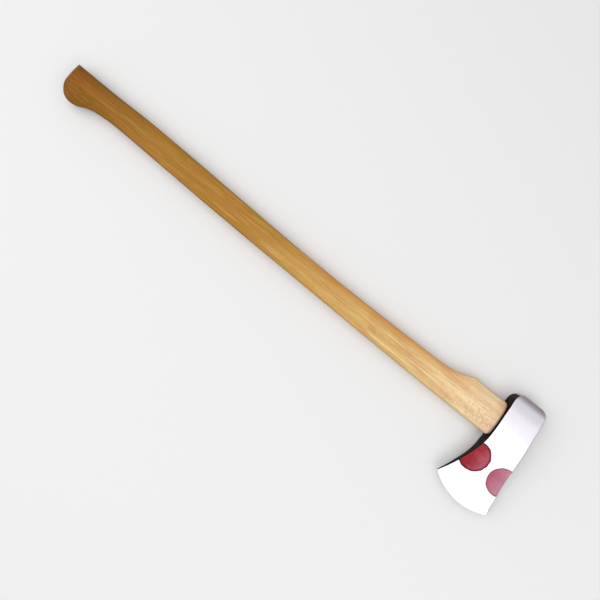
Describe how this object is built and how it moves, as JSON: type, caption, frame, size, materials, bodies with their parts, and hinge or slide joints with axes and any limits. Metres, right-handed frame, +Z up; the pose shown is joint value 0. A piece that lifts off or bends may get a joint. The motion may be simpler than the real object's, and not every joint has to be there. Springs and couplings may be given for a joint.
{
  "type": "felling axe",
  "caption": "Single-bit felling axe: forged head with round painted scoops, curved wooden handle with a fawn's-foot knob, wedged in the eye.",
  "frame": {"origin": "on the floor under the middle of the axe's box, with the axe lying flat on one cheek", "axes": "+X along the handle from the knob to the head, +Y towards the poll with the cutting edge at -Y, +Z up out of the upper cheek"},
  "size_m": [0.9264, 0.192, 0.034],
  "materials": {
    "steel": "ground and polished forged steel",
    "wood": "clear lacquered ash or hickory, darker towards the knob",
    "wedge_wood": "bare end grain",
    "wedge_steel": "plain mild steel",
    "red_paint": "gloss enamel in the cheek scoops",
    "black_paint": "satin black enamel on the head's underside"
  },
  "bodies": {
    "root": {"axe_head": "steel", "handle": "wood", "wooden_wedge": "wedge_wood", "steel_wedge_front": "wedge_steel", "steel_wedge_rear": "wedge_steel"}
  },
  "joints": []
}
